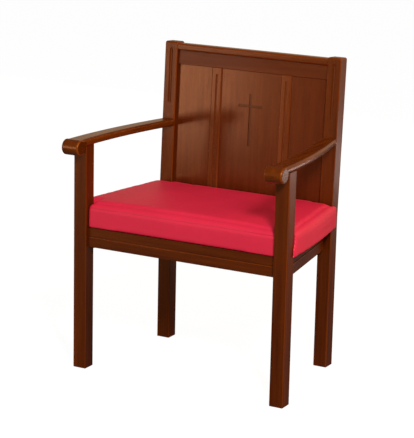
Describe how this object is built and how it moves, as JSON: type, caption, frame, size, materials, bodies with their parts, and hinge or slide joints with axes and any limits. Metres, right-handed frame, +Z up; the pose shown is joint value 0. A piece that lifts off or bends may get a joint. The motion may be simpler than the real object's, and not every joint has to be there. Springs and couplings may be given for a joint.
{
  "type": "choir chair",
  "caption": "Wooden armchair with tapered plan, level bowed arms with rolled noses, a leaning three-panel back with a cut cross, and a boxed red vinyl seat pad.",
  "frame": {"origin": "on the floor, in the middle of the whole width and of the whole depth", "axes": "+Z up, +Y to the back, +X to the right of someone who faces the chair's front"},
  "size_m": [0.686, 0.506, 0.896],
  "materials": {
    "mahogany_dark": "satin lacquer over a dark mahogany stain",
    "mahogany_light": "satin lacquer over a mahogany stain",
    "birch": "bare",
    "zinc_steel": "zinc plated",
    "foam": "open-cell foam",
    "crimson_vinyl": "smooth coated cloth with a soft sheen"
  },
  "bodies": {
    "root": {"front_leg_left": "mahogany_dark", "front_leg_right": "mahogany_dark", "rear_post_left": "mahogany_dark", "rear_post_right": "mahogany_dark", "front_rail": "mahogany_dark", "rear_rail": "mahogany_dark", "side_rail_left": "mahogany_dark", "side_rail_right": "mahogany_dark", "back_frieze": "mahogany_dark", "back_bottom_rail": "mahogany_dark", "arm_left": "mahogany_light", "arm_right": "mahogany_light", "back_cap": "mahogany_light", "muntin_left": "mahogany_light", "muntin_right": "mahogany_light", "panel_left": "mahogany_light", "panel_centre": "mahogany_light", "panel_right": "mahogany_light", "seat_board": "birch", "corner_block_front_left": "birch", "corner_block_front_right": "birch", "corner_block_rear_left": "birch", "corner_block_rear_right": "birch", "rail_dowels": "birch", "arm_dowels": "birch", "back_dowels": "birch", "block_screws": "zinc_steel", "seat_screws": "zinc_steel", "seat_foam": "foam", "seat_cover": "crimson_vinyl"}
  },
  "joints": []
}
